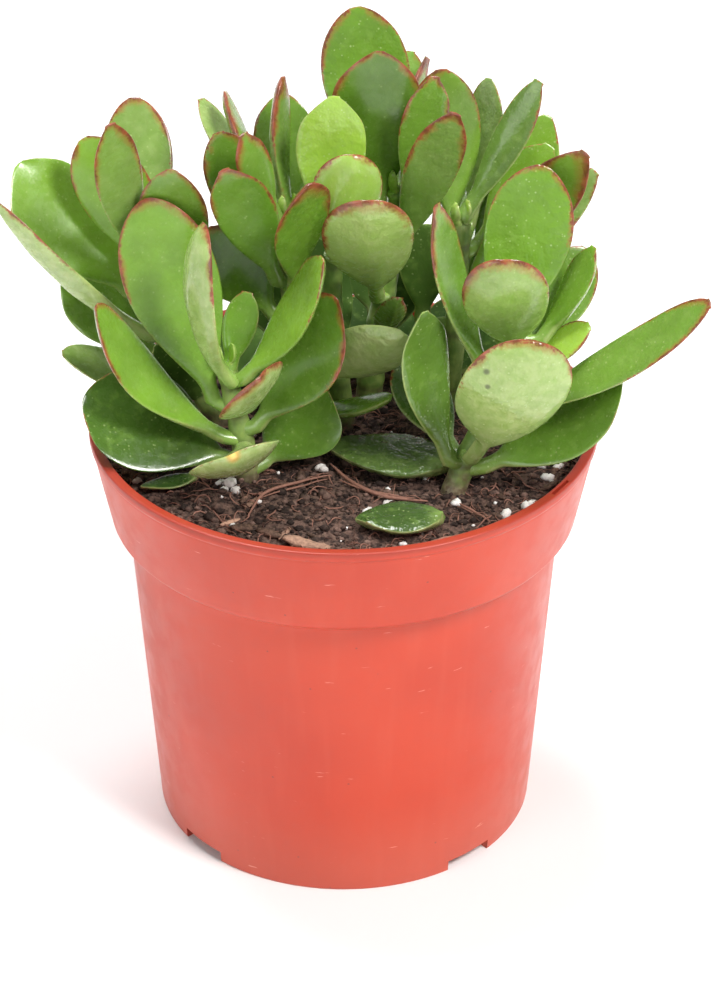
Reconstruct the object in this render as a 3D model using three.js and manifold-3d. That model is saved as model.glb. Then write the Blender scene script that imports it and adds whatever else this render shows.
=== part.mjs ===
// Potted jade plant (Crassula ovata) in a plastic nursery pot.
// Millimetres, +Z up. The origin is on the pot's axis, on the surface that the pot stands on.
// The viewer's side is -Y: +X is to the right of it and +Y is the back of the plant.
//
// A shoot is one stem with a growing tip, and its leaves stand on it in crossed pairs.
// Each leaf is a separate thick solid: a narrow round petiole that widens to an obovate blade,
// with a flatter top face, a fuller underside and a rounded margin.

import * as THREE from 'three';
import * as BufferGeometryUtils from 'three/addons/utils/BufferGeometryUtils.js';
import Module from 'manifold-3d';

const wasm = await Module();
wasm.setup();

// ---------------------------------------------------------------- driving dimensions

const GAP = 0.3; // clearance between pieces that touch

const POT_HEIGHT = 105;
const RIM_R = 60; // outer radius of the lip
const LIP_WIDTH = 2.4; // flat top of the lip
const BAND_LOW_R = 55.5; // outer radius at the lower edge of the collar
const BAND_LOW_Z = 81.8;
const BODY_TOP_R = 51.6; // outer radius of the body just under the collar
const BASE_R = 46; // outer radius of the foot
const WALL = 1.3;
const FLOOR_Z = 3; // underside of the pot's floor
const FLOOR_THICK = 1.4;
const FOOT_WIDTH = 2.2;
const NOTCH_ANGLES = [41, 131, 221, 311]; // degrees from +X
const NOTCH_WIDTH = 13;
const DRAIN_R = 4;
const DRAIN_RING_R = 31;
const DRAIN_COUNT = 6;
const LABEL_SLOT = { angle: -33, length: 7, width: 0.8, depth: 5 };
const POT_SIDES = 56;

const SOIL_EDGE_Z = 96.5;
const SOIL_MID_Z = 98.5;
const SOIL_SIDES = 36;
const STEM_BURIED = 18; // length of stem below the soil surface

const LEAF_RING_POINTS = 10;
const LEAF_STATIONS = [0, 0.16, 0.35, 0.54, 0.71, 0.86, 0.96];
const LEAF_WIDEST = 0.62; // part of the length at which the blade is widest
const PETIOLE_R = 1.55;
const STEM_SIDES = 12;

// ---------------------------------------------------------------- materials

const coloured = (color, roughness) => new THREE.MeshStandardMaterial({ color, roughness, metalness: 0 });
const POT_MATERIAL = coloured(0xd9563c, 0.42);
const SOIL_MATERIAL = coloured(0x3a2a22, 0.95);
const STEM_MATERIAL = coloured(0x6f9a45, 0.5);
const LEAF_MATERIAL = coloured(0x5f9433, 0.35);
const DARK_LEAF_MATERIAL = coloured(0x3c5f2c, 0.35);

// ---------------------------------------------------------------- helpers

const DEG = Math.PI / 180;
const UP = new THREE.Vector3(0, 0, 1);
const vec = (p) => new THREE.Vector3(p[0], p[1], p[2]);
const smooth = (x) => x * x * (3 - 2 * x);

// A closed skin over a row of rings, with a pole vertex at each end.
function loft(rings, startPole, endPole) {
  const count = rings[0].length;
  const points = [startPole, ...rings.flat(), endPole];
  const index = [];
  const at = (ring, k) => 1 + ring * count + (k % count);
  const last = rings.length - 1;
  for (let k = 0; k < count; k++) {
    index.push(0, at(0, k + 1), at(0, k));
    index.push(points.length - 1, at(last, k), at(last, k + 1));
    for (let ring = 0; ring < last; ring++) {
      index.push(at(ring, k), at(ring, k + 1), at(ring + 1, k + 1));
      index.push(at(ring, k), at(ring + 1, k + 1), at(ring + 1, k));
    }
  }
  const geometry = new THREE.BufferGeometry().setFromPoints(points);
  geometry.setIndex(index);
  geometry.computeVertexNormals();
  return geometry;
}

function toSolid(geometry, matrix) {
  const copy = geometry.clone();
  copy.deleteAttribute('normal');
  copy.deleteAttribute('uv');
  if (matrix) copy.applyMatrix4(matrix);
  const merged = BufferGeometryUtils.mergeVertices(copy, 1e-4);
  return new wasm.Manifold(new wasm.Mesh({
    numProp: 3,
    vertProperties: new Float32Array(merged.attributes.position.array),
    triVerts: new Uint32Array(merged.index.array),
  }));
}

function fromSolid(solid) {
  const mesh = solid.getMesh();
  const geometry = new THREE.BufferGeometry();
  geometry.setAttribute('position', new THREE.BufferAttribute(new Float32Array(mesh.vertProperties), 3));
  geometry.setIndex(new THREE.BufferAttribute(new Uint32Array(mesh.triVerts), 1));
  geometry.computeVertexNormals();
  return geometry;
}

// A lathe about +Z from (radius, height) pairs.
function turned(profile, sides) {
  const geometry = new THREE.LatheGeometry(profile.map(([r, z]) => new THREE.Vector2(r, z)), sides);
  return geometry.rotateX(Math.PI / 2);
}

function named(name, geometry, material) {
  const mesh = new THREE.Mesh(geometry, material);
  mesh.name = name;
  return mesh;
}

const plant = new THREE.Group();

// ---------------------------------------------------------------- pot

function buildPot() {
  const inside = (z) => BASE_R - WALL + (BODY_TOP_R - BASE_R) * (z / BAND_LOW_Z);
  const profile = [
    [0, FLOOR_Z],
    [BASE_R - FOOT_WIDTH, FLOOR_Z],
    [BASE_R - FOOT_WIDTH, 0],
    [BASE_R - 0.4, 0],
    [BASE_R, 0.5],
    [BODY_TOP_R, BAND_LOW_Z - 0.9],
    [BAND_LOW_R - 0.9, BAND_LOW_Z - 0.6],
    [BAND_LOW_R, BAND_LOW_Z + 0.5],
    [RIM_R - 0.35, POT_HEIGHT - 2],
    [RIM_R, POT_HEIGHT - 0.5],
    [RIM_R - 0.4, POT_HEIGHT],
    [RIM_R - LIP_WIDTH, POT_HEIGHT],
    [RIM_R - LIP_WIDTH - 0.2, POT_HEIGHT - 1],
    [BAND_LOW_R - WALL, BAND_LOW_Z + 1.2],
    [inside(BAND_LOW_Z), BAND_LOW_Z - 1.6],
    [inside(FLOOR_Z + FLOOR_THICK), FLOOR_Z + FLOOR_THICK],
    [0, FLOOR_Z + FLOOR_THICK],
  ];
  let pot = toSolid(turned(profile, POT_SIDES));
  for (const angle of NOTCH_ANGLES) {
    const notch = new THREE.BoxGeometry(14, NOTCH_WIDTH, FLOOR_Z * 2 - 0.1);
    const place = new THREE.Matrix4().makeRotationZ(angle * DEG);
    place.multiply(new THREE.Matrix4().makeTranslation(BASE_R, 0, 0));
    pot = pot.subtract(toSolid(notch, place));
  }
  for (let hole = 0; hole < DRAIN_COUNT; hole++) {
    const angle = (hole / DRAIN_COUNT) * 2 * Math.PI;
    const drain = new THREE.CylinderGeometry(DRAIN_R, DRAIN_R, 12, 12).rotateX(Math.PI / 2);
    drain.translate(DRAIN_RING_R * Math.cos(angle), DRAIN_RING_R * Math.sin(angle), FLOOR_Z);
    pot = pot.subtract(toSolid(drain));
  }
  const slotBox = new THREE.BoxGeometry(LABEL_SLOT.width, LABEL_SLOT.length, LABEL_SLOT.depth);
  const slotPlace = new THREE.Matrix4().makeRotationZ(LABEL_SLOT.angle * DEG);
  slotPlace.multiply(new THREE.Matrix4().makeTranslation(RIM_R - LIP_WIDTH / 2, 0, POT_HEIGHT));
  pot = pot.subtract(toSolid(slotBox, slotPlace));
  return fromSolid(pot);
}

plant.add(named('nursery_pot', buildPot(), POT_MATERIAL));

// ---------------------------------------------------------------- stems

// Each stem: its own points from the soil surface up, and its radius at the foot and at the tip.
const STEMS = {
  a: { path: [[-22.5, -16, 98], [-23.5, -14, 108], [-25.5, -11.5, 117], [-27, -9.5, 124]], r: [3.1, 2.2] },
  b: { path: [[-30, 9, 98], [-38, 11, 112], [-44, 13, 126], [-49, 15, 138]], r: [3.0, 2.0] },
  c: { path: [[-10, 4, 98], [-11, 6, 114], [-12, 8, 132], [-12.5, 11, 152]], r: [3.6, 2.1] },
  d: { path: [[25.5, -21.5, 98], [28.5, -19, 105], [34, -16, 117], [39.5, -13, 129], [41, -11, 134]], r: [3.4, 2.2] },
  e: { path: [[6, 18, 98], [8, 17, 118], [11, 16, 138], [13, 16, 156]], r: [3.6, 2.1] },
  g: { path: [[0, 7, 98], [-2, 8, 118], [-2.5, 9, 136], [-1.5, 11, 150]], r: [3.2, 2.0] },
  f: { path: [[24, 14, 98], [26, 13, 116], [27, 13, 134], [27.5, 13.5, 149]], r: [3.4, 2.1] },
};

class Stem {
  constructor({ path, r }) {
    this.radii = r;
    const foot = vec(path[0]);
    const below = foot.clone().addScaledVector(UP, -STEM_BURIED);
    this.curve = new THREE.CatmullRomCurve3([below, ...path.map(vec)], false, 'centripetal');
    this.top = path[path.length - 1][2];
    this.bottom = below.z;
    this.extras = [];
  }

  // The curve's parameter at a height, by halving.
  parameter(z) {
    let low = 0;
    let high = 1;
    for (let step = 0; step < 30; step++) {
      const middle = (low + high) / 2;
      if (this.curve.getPointAt(middle).z < z) low = middle;
      else high = middle;
    }
    return (low + high) / 2;
  }

  radiusAt(z) {
    const t = THREE.MathUtils.clamp((z - this.bottom) / (this.top - this.bottom), 0, 1);
    return THREE.MathUtils.lerp(this.radii[0], this.radii[1], t);
  }

  geometry(extraRadius) {
    const rings = [];
    const rows = Math.round((this.top - this.bottom) / 8);
    for (let row = 0; row <= rows; row++) {
      const t = row / rows;
      const centre = this.curve.getPointAt(t);
      const radius = this.radiusAt(centre.z) + extraRadius;
      const ring = [];
      for (let k = 0; k < STEM_SIDES; k++) {
        const angle = (k / STEM_SIDES) * 2 * Math.PI;
        ring.push(new THREE.Vector3(Math.cos(angle), Math.sin(angle), 0).multiplyScalar(radius).add(centre));
      }
      rings.push(ring);
    }
    const low = this.curve.getPointAt(0).addScaledVector(UP, -1.5 - extraRadius);
    const high = this.curve.getPointAt(1).addScaledVector(UP, 1.2 + extraRadius);
    return loft(rings, low, high);
  }
}

const stems = {};
for (const [name, spec] of Object.entries(STEMS)) stems[name] = new Stem(spec);

// ---------------------------------------------------------------- leaves

// Half the blade's width over its length, as a part of the widest.
function leafOutline(t) {
  if (t < LEAF_WIDEST) return Math.pow(Math.sin((t / LEAF_WIDEST) * 90 * DEG), 1.15);
  const u = (t - LEAF_WIDEST) / (1 - LEAF_WIDEST);
  return Math.pow(1 - Math.pow(u, 2.15), 0.54);
}

// A leaf along +X from the origin, with its top face towards +Z.
// curl bends it up over its length, in degrees, and cup lifts the margins.
function leafGeometry({ length, width, thick = 3.4, curl = 20, cup = 0.05, petiole = PETIOLE_R }) {
  const stations = [...LEAF_STATIONS, 1];
  const spine = [];
  const pitchAt = (t) => curl * (t - 0.5) * DEG;
  const steps = 60;
  const walk = [new THREE.Vector3()];
  for (let step = 0; step < steps; step++) {
    const pitch = pitchAt((step + 0.5) / steps);
    walk.push(walk[step].clone().add(new THREE.Vector3(Math.cos(pitch), 0, Math.sin(pitch))));
  }
  const scale = length / walk[steps].length();
  for (const t of stations) {
    const i = Math.min(steps - 1, Math.floor(t * steps));
    const point = walk[i].clone().lerp(walk[i + 1], t * steps - i).multiplyScalar(scale);
    spine.push({ point, pitch: pitchAt(t) });
  }
  const rings = LEAF_STATIONS.map((t, row) => {
    const { point, pitch } = spine[row];
    const side = new THREE.Vector3(0, 1, 0);
    const normal = new THREE.Vector3(-Math.sin(pitch), 0, Math.cos(pitch));
    const grown = smooth(Math.min(1, t / 0.35));
    const half = Math.max(petiole * (1 - 0.35 * t), leafOutline(t) * width / 2);
    const bulk = thick * (1 - 0.45 * smooth(Math.max(0, (t - 0.55) / 0.45)));
    const top = THREE.MathUtils.lerp(petiole, bulk * 0.38, grown);
    const under = THREE.MathUtils.lerp(petiole, bulk * 0.62, grown);
    const ring = [];
    for (let k = 0; k < LEAF_RING_POINTS; k++) {
      const angle = (k / LEAF_RING_POINTS) * 2 * Math.PI;
      const across = half * Math.cos(angle);
      const round = Math.sign(Math.sin(angle)) * Math.pow(Math.abs(Math.sin(angle)), 1 + 0.25 * grown);
      const lift = (round > 0 ? top : under) * round + cup * width * grown * Math.cos(angle) ** 2;
      ring.push(point.clone().addScaledVector(side, across).addScaledVector(normal, lift));
    }
    return ring;
  });
  const start = new THREE.Vector3(-0.25, 0, 0);
  const end = spine[spine.length - 1].point;
  return loft(rings, start, end);
}

// The matrix that puts a leaf's base at a point and its tip at another, with its top face looking one way.
function leafMatrix(base, tip, look = [0, 0, 1]) {
  const along = tip.clone().sub(base).normalize();
  const side = vec(look).cross(along).normalize();
  const normal = along.clone().cross(side);
  return new THREE.Matrix4().makeBasis(along, side, normal).setPosition(base);
}

// Where a leaf's base is on a stem at a height, for a leaf that reaches to a tip.
// A joined leaf starts inside the stem, and any other starts just clear of its skin.
function onStem(stem, at, tip, { out = 0, joined = false }) {
  const t = stem.parameter(at);
  const centre = stem.curve.getPointAt(t);
  const tangent = stem.curve.getTangentAt(t);
  const along = tip.clone().sub(centre).normalize();
  const outward = along.clone().addScaledVector(tangent, -along.dot(tangent)).normalize();
  const lean = Math.abs(along.dot(tangent));
  const clear = stem.radiusAt(at) + GAP + 0.1 + PETIOLE_R * lean + out;
  return centre.addScaledVector(outward, joined ? 0.3 : clear);
}

// Where a top face looks: out of the plant's front, out of its back, or to one side.
const FRONT = [0, -1, 0.4];
const BACK = [0, 1, 0.25];
const TO_RIGHT = [1, -0.4, 0.2];

// Leaves: [name, height on the stem, tip, width, { look, curl, thick, out, joined }].
// look is where the top face looks, and out is extra room between the base and the stem.
// A joined leaf is a young or small one that is one piece with its stem.
const LEAVES = {
  a: [
    ['low_left', 103, [-60, -12, 117.4], 27, { look: [0, -0.5, 1], curl: 15 }],
    ['low_right', 101, [-4, -6, 116], 22, { look: [-0.4, -0.7, 0.6], curl: 40 }],
    ['front', 106, [-26, -38, 117], 22, { look: [-0.4, 0, 1], curl: 40, thick: 4.5 }],
    ['left', 109, [-56, -15, 143], 17, { look: [0, -0.15, 1], curl: 50 }],
    ['right', 110, [-1.7, -14, 144.5], 21, { look: [-0.5, -0.7, 0.6], curl: 25 }],
    ['front_up', 115, [-19, -32, 134], 19, { look: [-0.7, 0.5, 0.6], curl: 20 }],
    ['back_tall', 117, [-45, 3, 161], 22, { look: FRONT, curl: 20, out: 0.5 }],
    ['pale_edge', 121, [-31, -13, 163], 15, { look: [1, 0.5, 0], curl: 55 }],
    ['right_up', 121, [-4.5, -18, 156.5], 16, { look: [-0.8, -0.35, 0.6], curl: 30 }],
    ['inner', 122.5, [-22, -2, 139.5], 8, { look: FRONT, joined: true }],
  ],
  b: [
    ['far_left', 132, [-75.6, 22, 160.3], 23, { look: [0, -0.5, 1], curl: 15 }],
    ['back_left', 133, [-60, 20, 167.9], 17, { look: FRONT, curl: 15, out: 1.4 }],
    ['top', 140, [-49.3, 42, 167.8], 16, { look: FRONT, curl: 20, out: 0.8 }],
    ['edge', 140, [-51.6, -8, 185], 11.5, { look: [0.4, -1, 0.3], curl: 20 }],
    ['inner', 125, [-38.7, 1.5, 169], 16.5, { look: FRONT, curl: 20 }],
    ['low_long', 122, [-78.8, 2, 160.4], 12.5, { look: [0, 0.4, 1], curl: 20 }],
    ['low_back', 116, [-66, 18, 133], 17, { look: [0, -0.4, 1], curl: 20 }],
    ['low_tip', 108, [-65.5, 0, 122], 13, { look: [0, -0.3, 1], joined: true }],
    ['rear', 128, [-50, 38, 142], 16, { joined: true }],
    ['low_inner', 103, [-43.5, 3, 123], 13, { look: [0.2, -1, 0.5], joined: true }],
  ],
  c: [
    ['left', 142.5, [-28.5, 12.5, 173], 14, { look: FRONT, curl: 20, out: 0.8 }],
    ['slender', 153.5, [-22.7, 5, 176.2], 9, { look: [0.5, -0.8, 0.2], curl: 20 }],
    ['mid_left', 137.5, [-27, -0.5, 170], 14, { look: FRONT, curl: 20 }],
    ['low_left', 128, [-31.7, 12, 148.5], 17, { look: FRONT, curl: 20 }],
    ['red_rim', 136, [-7.3, -11, 171.6], 15, { look: [0.5, -0.8, 0.3], curl: 20 }],
    ['back', 150, [-14, 30, 174.5], 14, { look: FRONT, curl: 20, out: 2 }],
    ['grey', 114, [14, -12, 134], 18, { look: [0.2, 1, 0.5], curl: 20 }],
    ['rear', 140, [-18, 36, 158], 16, { curl: 20 }],
    ['far_left', 149, [-33.2, 32, 172.2], 11, { look: [0.7, -0.3, 0.6], joined: true }],
    ['purple_left', 151, [-27.3, 28, 176], 9, { look: [1, -0.1, 0.4], joined: true }],
    ['purple_top', 151, [-13.7, 22, 182.5], 9, { look: TO_RIGHT, joined: true }],
    ['low_front', 104, [11, -10, 116], 8, { look: [0, -0.2, 1], joined: true }],
    ['rear_low', 118, [-24, 28, 134], 14, { joined: true }],
    ['low_rear', 105, [-26, 38, 113], 22, { joined: true }],
  ],
  d: [
    ['left', 103, [18, -22, 145], 14, { look: [0.5, -0.7, 0.5], curl: 40 }],
    ['low_right', 105, [63, -22, 128], 20, { look: [0, -0.45, 1], curl: 40 }],
    ['front', 106, [44, -34, 144], 25, { look: [0, 1, 0.35], curl: 30 }],
    ['dark', 105, [14, 0, 121.5], 15, { look: [0.5, -0.7, 0.5], curl: 20 }],
    ['slender', 122, [20.5, -20, 171], 11, { look: [0.8, -0.6, 0.2], curl: 20 }],
    ['long_right', 117, [81.3, -30, 151.6], 13, { look: [0, -0.4, 1], curl: 24 }],
    ['round_front', 130, [35, -27, 161], 19.5, { look: BACK, curl: 20 }],
    ['tall', 131, [45, 1.5, 170], 20, { look: FRONT, curl: 20 }],
    ['right', 133.5, [57, -6, 153], 11, { look: [-0.8, -0.3, 0.5], curl: 20, out: 0.6 }],
    ['right_back', 129, [56, 4, 147.4], 14, { look: FRONT, curl: 20 }],
    ['small', 124, [56, -15, 137.5], 10, { look: [0, -0.3, 1], joined: true }],
  ],
  e: [
    ['top', 156, [2.8, 36, 193.5], 20.5, { look: FRONT, curl: 20, out: 1.5 }],
    ['big', 152, [8, 16, 191.5], 21, { look: FRONT, curl: 20, out: 0.3 }],
    ['right', 142, [25, -8, 187.5], 12, { look: [0, -0.9, 0.3], curl: 20 }],
    ['mid', 153, [20.7, 10, 188], 11, { look: [0.2, -0.9, 0.3], curl: 20 }],
    ['round_front', 130, [5, -8, 166], 21, { look: BACK, curl: 25 }],
    ['rear', 138, [14, 50, 160], 18, { curl: 20 }],
    ['behind', 140, [15.8, 49, 176.4], 13, { look: FRONT, joined: true }],
    ['spike', 141.5, [19.9, 42, 178], 8, { look: TO_RIGHT, joined: true }],
    ['tiny', 118, [12.5, -4, 139], 7, { look: BACK, joined: true }],
    ['rear_low', 122, [-2, 44, 140], 16, { joined: true }],
    ['deep', 105, [6, 46, 112], 24, { joined: true }],
    ['mid_rear', 113, [17, 33, 139], 16, { look: FRONT, joined: true }],
  ],
  f: [
    ['tall', 147, [22.6, 26, 182.4], 17, { look: FRONT, curl: 20 }],
    ['grey', 146, [34, 30.8, 177.8], 13.5, { look: [-0.8, -0.6, 0], curl: 20, out: 1.8 }],
    ['right', 143, [48, 21, 165.3], 13, { look: FRONT, curl: 20, out: 1 }],
    ['far', 135, [48, 30, 168.6], 15, { look: FRONT, curl: 20 }],
    ['dark', 123, [19.3, 13, 149], 12, { look: FRONT, curl: 20, out: 3.4 }],
    ['rear', 130, [36, 44, 148], 16, { curl: 20 }],
    ['far_grey', 150, [45, 20.3, 182], 8.5, { look: [-0.6, -0.8, 0], joined: true }],
    ['red_tip', 129, [55, 3, 172.3], 14, { look: FRONT, joined: true }],
    ['rear_right', 122, [53, 28, 138], 15, { joined: true }],
    ['grey_tip', 123, [59, 24, 157.2], 11, { look: FRONT, curl: 45, joined: true }],
    ['deep', 107, [33, 44, 114], 22, { joined: true }],
  ],
  g: [
    ['tall', 149, [-2, 10, 183.2], 16, { look: FRONT, curl: 20 }],
    ['small_round', 143, [2.5, 2, 172.5], 16, { look: BACK, curl: 20 }],
    ['mid_rear', 112, [-9.5, 26, 139], 12, { look: FRONT, joined: true }],
  ],
};

const joinedLeaves = {};
for (const [key, leaves] of Object.entries(LEAVES)) {
  const stem = stems[key];
  joinedLeaves[key] = [];
  for (const [name, at, tipPoint, width, shape] of leaves) {
    const tip = vec(tipPoint);
    const base = onStem(stem, at, tip, shape);
    const length = tip.distanceTo(base);
    const geometry = leafGeometry({ length, width, ...shape });
    const matrix = leafMatrix(base, tip, shape.look);
    if (shape.joined) {
      joinedLeaves[key].push(toSolid(geometry, matrix));
      continue;
    }
    const mesh = named(`leaf_${key}_${name}`, geometry, LEAF_MATERIAL);
    mesh.applyMatrix4(matrix);
    plant.add(mesh);
  }
}

for (const [key, stem] of Object.entries(stems)) {
  let solid = toSolid(stem.geometry(0));
  for (const leaf of joinedLeaves[key]) solid = solid.add(leaf);
  plant.add(named(`stem_${key}`, fromSolid(solid), STEM_MATERIAL));
}

// ---------------------------------------------------------------- fallen leaves

const FALLEN = [
  ['middle', [25, -16, 101.4], [-4, -9, 102.4], 18, { curl: 8, thick: 5 }],
  ['front', [22.5, -37, 100.2], [2.5, -38.5, 100.6], 13, { curl: 8, thick: 4 }],
  ['left', [-34, -18, 99.6], [-47, -22, 99.2], 6, { curl: 8, thick: 2, petiole: 1 }],
];
for (const [name, from, to, width, shape] of FALLEN) {
  const base = vec(from);
  const tip = vec(to);
  const geometry = leafGeometry({ length: tip.distanceTo(base), width, ...shape });
  const mesh = named(`fallen_leaf_${name}`, geometry, DARK_LEAF_MATERIAL);
  mesh.applyMatrix4(leafMatrix(base, tip));
  plant.add(mesh);
}

// ---------------------------------------------------------------- soil

function buildSoil() {
  const wallAt = (z) => {
    if (z < BAND_LOW_Z - 1.6) return BASE_R - WALL + (BODY_TOP_R - BASE_R) * (z / BAND_LOW_Z) - GAP;
    const t = (z - BAND_LOW_Z - 1.2) / (POT_HEIGHT - 1 - BAND_LOW_Z - 1.2);
    return THREE.MathUtils.lerp(BAND_LOW_R - WALL, RIM_R - LIP_WIDTH - 0.2, t) - GAP;
  };
  const low = FLOOR_Z + FLOOR_THICK + GAP;
  const profile = [
    [0, low],
    [wallAt(low), low],
    [wallAt(BAND_LOW_Z - 1.7), BAND_LOW_Z - 1.7 + GAP],
    [BAND_LOW_R - WALL - GAP, BAND_LOW_Z + 1.2 + 2 * GAP],
    [wallAt(SOIL_EDGE_Z), SOIL_EDGE_Z],
    [48, SOIL_EDGE_Z + 0.6],
    [38, SOIL_EDGE_Z + 1.2],
    [22, SOIL_MID_Z - 0.4],
    [0, SOIL_MID_Z],
  ];
  let soil = toSolid(turned(profile, SOIL_SIDES));
  for (const stem of Object.values(stems)) soil = soil.subtract(toSolid(stem.geometry(GAP)));
  return fromSolid(soil);
}

plant.add(named('soil', buildSoil(), SOIL_MATERIAL));

export default plant;
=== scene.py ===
# Looks of the potted jade plant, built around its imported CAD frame.
# Lengths are in millimetres until a mesh is made, and in metres after that.
import math

import bpy
import numpy as np
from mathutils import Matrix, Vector, noise
from numpy.linalg import norm


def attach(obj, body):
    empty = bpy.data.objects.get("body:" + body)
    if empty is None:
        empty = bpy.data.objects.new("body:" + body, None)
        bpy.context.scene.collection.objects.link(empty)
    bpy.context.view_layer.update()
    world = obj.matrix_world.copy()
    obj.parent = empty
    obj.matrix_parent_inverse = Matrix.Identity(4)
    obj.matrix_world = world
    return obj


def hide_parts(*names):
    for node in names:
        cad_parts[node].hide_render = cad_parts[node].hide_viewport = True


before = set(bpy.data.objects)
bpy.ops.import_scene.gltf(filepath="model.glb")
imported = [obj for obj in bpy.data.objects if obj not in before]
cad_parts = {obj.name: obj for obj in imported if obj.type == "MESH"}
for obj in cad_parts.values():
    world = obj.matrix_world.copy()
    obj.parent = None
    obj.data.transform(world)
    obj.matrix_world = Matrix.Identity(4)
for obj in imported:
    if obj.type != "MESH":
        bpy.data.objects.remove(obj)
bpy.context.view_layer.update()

MM = 0.001
SCENE = bpy.context.scene
RNG = np.random.default_rng(20)

# ---------------- camera

TARGET = (0.0, 0.0, 0.0525)
CAMERA_DISTANCE = 0.85
CAMERA_ELEVATION = math.radians(33.65)
AIM_RIGHT, AIM_UP = 15.6, 101.9  # from the target to the picture's middle
FOCAL_POINTS = 3490
LONG_SIDE_POINTS = 1000
SENSOR = 36.0
NEAREST, FURTHEST = 0.05, 50  # metres that the camera sees between


def make_camera():
    """A long lens above the plant's front, placed by its target and aimed a little above it."""
    data = bpy.data.cameras.new("camera")
    camera = bpy.data.objects.new("camera", data)
    SCENE.collection.objects.link(camera)
    ahead = Vector((0, math.cos(CAMERA_ELEVATION), -math.sin(CAMERA_ELEVATION)))
    up = Vector((0, math.sin(CAMERA_ELEVATION), math.cos(CAMERA_ELEVATION)))
    camera.location = Vector(TARGET) - ahead * CAMERA_DISTANCE
    aim = ahead + Vector((1, 0, 0)) * (AIM_RIGHT / FOCAL_POINTS) + up * (AIM_UP / FOCAL_POINTS)
    camera.rotation_mode = "QUATERNION"
    camera.rotation_quaternion = aim.to_track_quat("-Z", "Y")
    data.sensor_width = SENSOR
    data.lens = SENSOR * FOCAL_POINTS / LONG_SIDE_POINTS
    data.clip_start = NEAREST
    data.clip_end = FURTHEST
    SCENE.camera = camera


make_camera()

# ---------------- mesh helpers


def unit(v):
    v = np.asarray(v, float)
    return v / norm(v)


def smooth(x):
    x = np.clip(x, 0, 1)
    return x * x * (3 - 2 * x)


def around(count):
    """Cosines and sines of even steps round a circle."""
    angle = np.arange(count) / count * 2 * math.pi
    return np.cos(angle), np.sin(angle)


def turned(points, angle):
    """Points turned about +Z."""
    c, s = math.cos(angle), math.sin(angle)
    x, y, z = points[..., 0], points[..., 1], points[..., 2]
    return np.stack([x * c - y * s, x * s + y * c, z], -1)


def link(name, data):
    """A new object in the scene that holds the data."""
    thing = bpy.data.objects.new(name, data)
    SCENE.collection.objects.link(thing)
    return thing


def loft_faces(rows, cols):
    """Faces over a start pole, then rows rings of cols points each, then an end pole."""
    end = 1 + rows * cols
    faces = []
    for k in range(cols):
        here, there = 1 + k, 1 + (k + 1) % cols
        faces.append((0, there, here))
        faces.append((end, here + (rows - 1) * cols, there + (rows - 1) * cols))
        for row in range(rows - 1):
            a, b = here + row * cols, there + row * cols
            faces.append((a, b, b + cols, a + cols))
    return faces


class Skin:
    """Closed bodies of one piece, with values at the points and a material number per face."""

    def __init__(self):
        self.points, self.faces, self.kinds = [], [], []
        self.values = {}
        self.count = 0

    def add(self, points, faces, kind=0, **values):
        """Adds a body. A value is one number for all its points or a row for each."""
        points = np.asarray(points, float)
        self.faces += [tuple(i + self.count for i in face) for face in faces]
        self.kinds += [kind] * len(faces)
        for name, value in values.items():
            value = np.broadcast_to(value, (len(points), *np.shape(value)[1:]))
            self.values.setdefault(name, []).append((self.count, value))
        self.points.append(points)
        self.count += len(points)

    def loft(self, start, rings, end, **more):
        rows, cols = rings.shape[:2]
        self.add(np.vstack([start, rings.reshape(-1, 3), end]), loft_faces(rows, cols), **more)

    def piece(self, name, materials, replaces, slot):
        mesh = bpy.data.meshes.new(name)
        mesh.from_pydata((np.vstack(self.points) * MM).tolist(), [], self.faces)
        mesh.polygons.foreach_set("use_smooth", [True] * len(mesh.polygons))
        for material in materials:
            mesh.materials.append(material)
        mesh.polygons.foreach_set("material_index", self.kinds)
        for key, parts in self.values.items():
            wide = parts[0][1].ndim == 2
            data = np.zeros((self.count, 4) if wide else self.count, np.float32)
            for first, value in parts:
                data[first : first + len(value)] = value
            attribute = mesh.attributes.new(key, "FLOAT_COLOR" if wide else "FLOAT", "POINT")
            attribute.data.foreach_set("color" if wide else "value", data.ravel())
        mesh.update()
        piece = link(name, mesh)
        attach(piece, "root")
        if replaces:
            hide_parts(*replaces)
        return piece


# ---------------- material helpers


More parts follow.
